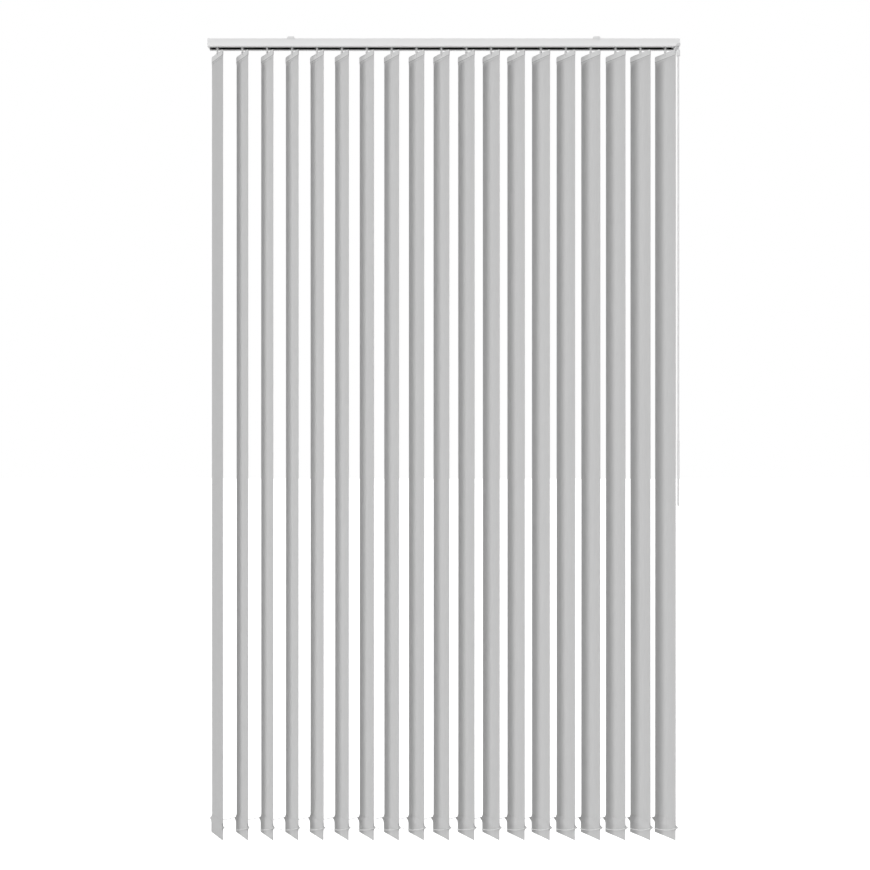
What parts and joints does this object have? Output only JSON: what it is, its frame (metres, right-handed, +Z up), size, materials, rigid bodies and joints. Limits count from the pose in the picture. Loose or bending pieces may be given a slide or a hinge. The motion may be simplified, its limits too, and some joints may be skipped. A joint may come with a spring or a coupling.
{
  "type": "vertical blind",
  "caption": "Vertical blind in pale grey: a headrail on two ceiling clips, weighted fabric louvres joined by bottom chains, and one wand that draws and tilts them.",
  "frame": {"origin": "on the ceiling plane, midway between the two ceiling clips' screw holes", "axes": "+X along the headrail towards the wand, -Y out of the window into the room, +Z up, along the longest extent"},
  "size_m": [1.5081, 0.1047, 2.5448],
  "materials": {
    "rail_coat": "satin white powder coat on extruded aluminium",
    "cap_plastic": "moulded white plastic, fine grain",
    "clip_coat": "white coat on sprung steel sheet",
    "rod_aluminium": "drawn aluminium with four ribs",
    "carrier_plastic": "moulded dark acetal",
    "dark_plastic": "moulded dark acetal",
    "louvre_fabric": "stiffened fine-weave polyester, matt",
    "chain_plastic": "white moulded links",
    "grey_plastic": "moulded pale grey plastic",
    "grey_rubber": "flexible pale grey sleeve",
    "wand_plastic": "white moulded plastic, satin"
  },
  "bodies": {
    "rail": {"headrail": "rail_coat", "end_cap_left": "cap_plastic", "end_cap_right": "cap_plastic", "rod_bush_left": "dark_plastic", "rod_bush_right": "dark_plastic", "ceiling_clip_left": "clip_coat", "ceiling_clip_right": "clip_coat", "carrier_01": "carrier_plastic"},
    "carrier_02_body": {"carrier_02": "carrier_plastic"},
    "carrier_03_body": {"carrier_03": "carrier_plastic"},
    "carrier_04_body": {"carrier_04": "carrier_plastic"},
    "carrier_05_body": {"carrier_05": "carrier_plastic"},
    "carrier_06_body": {"carrier_06": "carrier_plastic"},
    "carrier_07_body": {"carrier_07": "carrier_plastic"},
    "carrier_08_body": {"carrier_08": "carrier_plastic"},
    "carrier_09_body": {"carrier_09": "carrier_plastic"},
    "carrier_10_body": {"carrier_10": "carrier_plastic"},
    "carrier_11_body": {"carrier_11": "carrier_plastic"},
    "carrier_12_body": {"carrier_12": "carrier_plastic"},
    "carrier_13_body": {"carrier_13": "carrier_plastic"},
    "carrier_14_body": {"carrier_14": "carrier_plastic"},
    "carrier_15_body": {"carrier_15": "carrier_plastic"},
    "carrier_16_body": {"carrier_16": "carrier_plastic"},
    "carrier_17_body": {"carrier_17": "carrier_plastic"},
    "carrier_18_body": {"carrier_18": "carrier_plastic"},
    "lead": {"carrier_19": "carrier_plastic", "wand_truck": "grey_plastic"},
    "louvre_01_body": {"louvre_01": "louvre_fabric"},
    "louvre_02_body": {"louvre_02": "louvre_fabric"},
    "louvre_03_body": {"louvre_03": "louvre_fabric"},
    "louvre_04_body": {"louvre_04": "louvre_fabric"},
    "louvre_05_body": {"louvre_05": "louvre_fabric"},
    "louvre_06_body": {"louvre_06": "louvre_fabric"},
    "louvre_07_body": {"louvre_07": "louvre_fabric"},
    "louvre_08_body": {"louvre_08": "louvre_fabric"},
    "louvre_09_body": {"louvre_09": "louvre_fabric"},
    "louvre_10_body": {"louvre_10": "louvre_fabric"},
    "louvre_11_body": {"louvre_11": "louvre_fabric"},
    "louvre_12_body": {"louvre_12": "louvre_fabric"},
    "louvre_13_body": {"louvre_13": "louvre_fabric"},
    "louvre_14_body": {"louvre_14": "louvre_fabric"},
    "louvre_15_body": {"louvre_15": "louvre_fabric"},
    "louvre_16_body": {"louvre_16": "louvre_fabric"},
    "louvre_17_body": {"louvre_17": "louvre_fabric"},
    "louvre_18_body": {"louvre_18": "louvre_fabric"},
    "louvre_19_body": {"louvre_19": "louvre_fabric"},
    "tilt_rod_body": {"tilt_rod": "rod_aluminium"},
    "rod_gear_body": {"rod_gear": "dark_plastic"},
    "drop_shaft_body": {"drop_shaft": "dark_plastic"},
    "cross_shaft_body": {"cross_shaft": "dark_plastic"},
    "wand_spindle_body": {"wand_spindle": "dark_plastic"},
    "coupling_body": {"wand_coupling": "grey_rubber"},
    "wand_body": {"wand_connector": "wand_plastic", "wand_rod": "wand_plastic", "wand_grip": "wand_plastic", "wand_tip": "wand_plastic"},
    "front_chain_body": {"front_chain": "chain_plastic"},
    "rear_chain_body": {"rear_chain": "chain_plastic"}
  },
  "joints": [
    {"name": "draw", "type": "slide", "parent": "rail", "child": "lead", "axis": [-1, 0, 0], "range_m": [0, 1.0701], "deforming": ["front_chain", "rear_chain"]},
    {"name": "draw_02", "type": "slide", "parent": "rail", "child": "carrier_02_body", "axis": [-1, 0, 0], "range_m": [0, 0.05945]},
    {"name": "draw_03", "type": "slide", "parent": "rail", "child": "carrier_03_body", "axis": [-1, 0, 0], "range_m": [0, 0.1189]},
    {"name": "draw_04", "type": "slide", "parent": "rail", "child": "carrier_04_body", "axis": [-1, 0, 0], "range_m": [0, 0.17835]},
    {"name": "draw_05", "type": "slide", "parent": "rail", "child": "carrier_05_body", "axis": [-1, 0, 0], "range_m": [0, 0.2378]},
    {"name": "draw_06", "type": "slide", "parent": "rail", "child": "carrier_06_body", "axis": [-1, 0, 0], "range_m": [0, 0.29725]},
    {"name": "draw_07", "type": "slide", "parent": "rail", "child": "carrier_07_body", "axis": [-1, 0, 0], "range_m": [0, 0.3567]},
    {"name": "draw_08", "type": "slide", "parent": "rail", "child": "carrier_08_body", "axis": [-1, 0, 0], "range_m": [0, 0.41615]},
    {"name": "draw_09", "type": "slide", "parent": "rail", "child": "carrier_09_body", "axis": [-1, 0, 0], "range_m": [0, 0.4756]},
    {"name": "draw_10", "type": "slide", "parent": "rail", "child": "carrier_10_body", "axis": [-1, 0, 0], "range_m": [0, 0.53505]},
    {"name": "draw_11", "type": "slide", "parent": "rail", "child": "carrier_11_body", "axis": [-1, 0, 0], "range_m": [0, 0.5945]},
    {"name": "draw_12", "type": "slide", "parent": "rail", "child": "carrier_12_body", "axis": [-1, 0, 0], "range_m": [0, 0.65395]},
    {"name": "draw_13", "type": "slide", "parent": "rail", "child": "carrier_13_body", "axis": [-1, 0, 0], "range_m": [0, 0.7134]},
    {"name": "draw_14", "type": "slide", "parent": "rail", "child": "carrier_14_body", "axis": [-1, 0, 0], "range_m": [0, 0.77285]},
    {"name": "draw_15", "type": "slide", "parent": "rail", "child": "carrier_15_body", "axis": [-1, 0, 0], "range_m": [0, 0.8323]},
    {"name": "draw_16", "type": "slide", "parent": "rail", "child": "carrier_16_body", "axis": [-1, 0, 0], "range_m": [0, 0.89175]},
    {"name": "draw_17", "type": "slide", "parent": "rail", "child": "carrier_17_body", "axis": [-1, 0, 0], "range_m": [0, 0.9512]},
    {"name": "draw_18", "type": "slide", "parent": "rail", "child": "carrier_18_body", "axis": [-1, 0, 0], "range_m": [0, 1.01065]},
    {"name": "tilt", "type": "hinge", "parent": "rail", "child": "louvre_01_body", "pos_m": [-0.7225, 0, -0.02], "axis": [0, 0, 1], "range_deg": [-112, 43.8]},
    {"name": "tilt_02", "type": "hinge", "parent": "carrier_02_body", "child": "louvre_02_body", "pos_m": [-0.64305, 0, -0.02], "axis": [0, 0, 1], "range_deg": [-112, 43.8]},
    {"name": "tilt_03", "type": "hinge", "parent": "carrier_03_body", "child": "louvre_03_body", "pos_m": [-0.5636, 0, -0.02], "axis": [0, 0, 1], "range_deg": [-112, 43.8]},
    {"name": "tilt_04", "type": "hinge", "parent": "carrier_04_body", "child": "louvre_04_body", "pos_m": [-0.48415, 0, -0.02], "axis": [0, 0, 1], "range_deg": [-112, 43.8]},
    {"name": "tilt_05", "type": "hinge", "parent": "carrier_05_body", "child": "louvre_05_body", "pos_m": [-0.4047, 0, -0.02], "axis": [0, 0, 1], "range_deg": [-112, 43.8]},
    {"name": "tilt_06", "type": "hinge", "parent": "carrier_06_body", "child": "louvre_06_body", "pos_m": [-0.32525, 0, -0.02], "axis": [0, 0, 1], "range_deg": [-112, 43.8]},
    {"name": "tilt_07", "type": "hinge", "parent": "carrier_07_body", "child": "louvre_07_body", "pos_m": [-0.2458, 0, -0.02], "axis": [0, 0, 1], "range_deg": [-112, 43.8]},
    {"name": "tilt_08", "type": "hinge", "parent": "carrier_08_body", "child": "louvre_08_body", "pos_m": [-0.16635, 0, -0.02], "axis": [0, 0, 1], "range_deg": [-112, 43.8]},
    {"name": "tilt_09", "type": "hinge", "parent": "carrier_09_body", "child": "louvre_09_body", "pos_m": [-0.0869, 0, -0.02], "axis": [0, 0, 1], "range_deg": [-112, 43.8]},
    {"name": "tilt_10", "type": "hinge", "parent": "carrier_10_body", "child": "louvre_10_body", "pos_m": [-0.00745, 0, -0.02], "axis": [0, 0, 1], "range_deg": [-112, 43.8]},
    {"name": "tilt_11", "type": "hinge", "parent": "carrier_11_body", "child": "louvre_11_body", "pos_m": [0.072, 0, -0.02], "axis": [0, 0, 1], "range_deg": [-112, 43.8]},
    {"name": "tilt_12", "type": "hinge", "parent": "carrier_12_body", "child": "louvre_12_body", "pos_m": [0.15145, 0, -0.02], "axis": [0, 0, 1], "range_deg": [-112, 43.8]},
    {"name": "tilt_13", "type": "hinge", "parent": "carrier_13_body", "child": "louvre_13_body", "pos_m": [0.2309, 0, -0.02], "axis": [0, 0, 1], "range_deg": [-112, 43.8]},
    {"name": "tilt_14", "type": "hinge", "parent": "carrier_14_body", "child": "louvre_14_body", "pos_m": [0.31035, 0, -0.02], "axis": [0, 0, 1], "range_deg": [-112, 43.8]},
    {"name": "tilt_15", "type": "hinge", "parent": "carrier_15_body", "child": "louvre_15_body", "pos_m": [0.3898, 0, -0.02], "axis": [0, 0, 1], "range_deg": [-112, 43.8]},
    {"name": "tilt_16", "type": "hinge", "parent": "carrier_16_body", "child": "louvre_16_body", "pos_m": [0.46925, 0, -0.02], "axis": [0, 0, 1], "range_deg": [-112, 43.8]},
    {"name": "tilt_17", "type": "hinge", "parent": "carrier_17_body", "child": "louvre_17_body", "pos_m": [0.5487, 0, -0.02], "axis": [0, 0, 1], "range_deg": [-112, 43.8]},
    {"name": "tilt_18", "type": "hinge", "parent": "carrier_18_body", "child": "louvre_18_body", "pos_m": [0.62815, 0, -0.02], "axis": [0, 0, 1], "range_deg": [-112, 43.8]},
    {"name": "tilt_19", "type": "hinge", "parent": "lead", "child": "louvre_19_body", "pos_m": [0.7076, 0, -0.02], "axis": [0, 0, 1], "range_deg": [-112, 43.8]},
    {"name": "rod_turn", "type": "hinge", "parent": "rail", "child": "tilt_rod_body", "pos_m": [0, 0.0075, -0.02], "axis": [1, 0, 0], "range_deg": [-526.1, 1344.5]},
    {"name": "rod_gear_turn", "type": "hinge", "parent": "lead", "child": "rod_gear_body", "pos_m": [0.738, 0.0075, -0.02], "axis": [1, 0, 0], "range_deg": [-526.1, 1344.5]},
    {"name": "drop_turn", "type": "hinge", "parent": "lead", "child": "drop_shaft_body", "pos_m": [0.738, 0.0075, -0.03], "axis": [0, 0, 1], "range_deg": [-1344.5, 526.1]},
    {"name": "cross_turn", "type": "hinge", "parent": "lead", "child": "cross_shaft_body", "pos_m": [0.738, -0.02, -0.0368], "axis": [0, 1, 0], "range_deg": [-1344.5, 526.1]},
    {"name": "spindle_turn", "type": "hinge", "parent": "lead", "child": "wand_spindle_body", "pos_m": [0.738, -0.05, -0.042], "axis": [0, 0, 1], "range_deg": [-1344.5, 526.1]},
    {"name": "wand_swing", "type": "hinge", "parent": "lead", "child": "coupling_body", "pos_m": [0.738, -0.05, -0.046], "axis": [-1, 0, 0], "range_deg": [0, 60], "deforming": ["wand_coupling"]},
    {"name": "wand_spin", "type": "hinge", "parent": "coupling_body", "child": "wand_body", "pos_m": [0.738, -0.05, -0.0532], "axis": [0, 0, 1], "range_deg": [-1344.5, 526.1]},
    {"name": "front_chain_swing", "type": "hinge", "parent": "louvre_01_body", "child": "front_chain_body", "pos_m": [-0.69213, -0.04707, -2.502], "axis": [0, 0, 1], "range_deg": [-44.3, 112.5]},
    {"name": "rear_chain_swing", "type": "hinge", "parent": "louvre_01_body", "child": "rear_chain_body", "pos_m": [-0.75502, 0.04561, -2.502], "axis": [0, 0, 1], "range_deg": [-44.3, 112.5]}
  ],
  "couplings": [
    {"joint": "draw_02", "follows": "draw", "ratio": 0.055556},
    {"joint": "draw_03", "follows": "draw", "ratio": 0.11111},
    {"joint": "draw_04", "follows": "draw", "ratio": 0.16667},
    {"joint": "draw_05", "follows": "draw", "ratio": 0.22222},
    {"joint": "draw_06", "follows": "draw", "ratio": 0.27778},
    {"joint": "draw_07", "follows": "draw", "ratio": 0.33333},
    {"joint": "draw_08", "follows": "draw", "ratio": 0.38889},
    {"joint": "draw_09", "follows": "draw", "ratio": 0.44444},
    {"joint": "draw_10", "follows": "draw", "ratio": 0.5},
    {"joint": "draw_11", "follows": "draw", "ratio": 0.55556},
    {"joint": "draw_12", "follows": "draw", "ratio": 0.61111},
    {"joint": "draw_13", "follows": "draw", "ratio": 0.66667},
    {"joint": "draw_14", "follows": "draw", "ratio": 0.72222},
    {"joint": "draw_15", "follows": "draw", "ratio": 0.77778},
    {"joint": "draw_16", "follows": "draw", "ratio": 0.83333},
    {"joint": "draw_17", "follows": "draw", "ratio": 0.88889},
    {"joint": "draw_18", "follows": "draw", "ratio": 0.94444},
    {"joint": "tilt_02", "follows": "tilt", "ratio": 1},
    {"joint": "tilt_03", "follows": "tilt", "ratio": 1},
    {"joint": "tilt_04", "follows": "tilt", "ratio": 1},
    {"joint": "tilt_05", "follows": "tilt", "ratio": 1},
    {"joint": "tilt_06", "follows": "tilt", "ratio": 1},
    {"joint": "tilt_07", "follows": "tilt", "ratio": 1},
    {"joint": "tilt_08", "follows": "tilt", "ratio": 1},
    {"joint": "tilt_09", "follows": "tilt", "ratio": 1},
    {"joint": "tilt_10", "follows": "tilt", "ratio": 1},
    {"joint": "tilt_11", "follows": "tilt", "ratio": 1},
    {"joint": "tilt_12", "follows": "tilt", "ratio": 1},
    {"joint": "tilt_13", "follows": "tilt", "ratio": 1},
    {"joint": "tilt_14", "follows": "tilt", "ratio": 1},
    {"joint": "tilt_15", "follows": "tilt", "ratio": 1},
    {"joint": "tilt_16", "follows": "tilt", "ratio": 1},
    {"joint": "tilt_17", "follows": "tilt", "ratio": 1},
    {"joint": "tilt_18", "follows": "tilt", "ratio": 1},
    {"joint": "tilt_19", "follows": "tilt", "ratio": 1},
    {"joint": "rod_turn", "follows": "tilt", "ratio": -12},
    {"joint": "rod_gear_turn", "follows": "tilt", "ratio": -12},
    {"joint": "drop_turn", "follows": "tilt", "ratio": 12},
    {"joint": "cross_turn", "follows": "tilt", "ratio": 12},
    {"joint": "spindle_turn", "follows": "tilt", "ratio": 12},
    {"joint": "wand_spin", "follows": "tilt", "ratio": 12},
    {"joint": "front_chain_swing", "follows": "tilt", "ratio": -1},
    {"joint": "rear_chain_swing", "follows": "tilt", "ratio": -1}
  ]
}
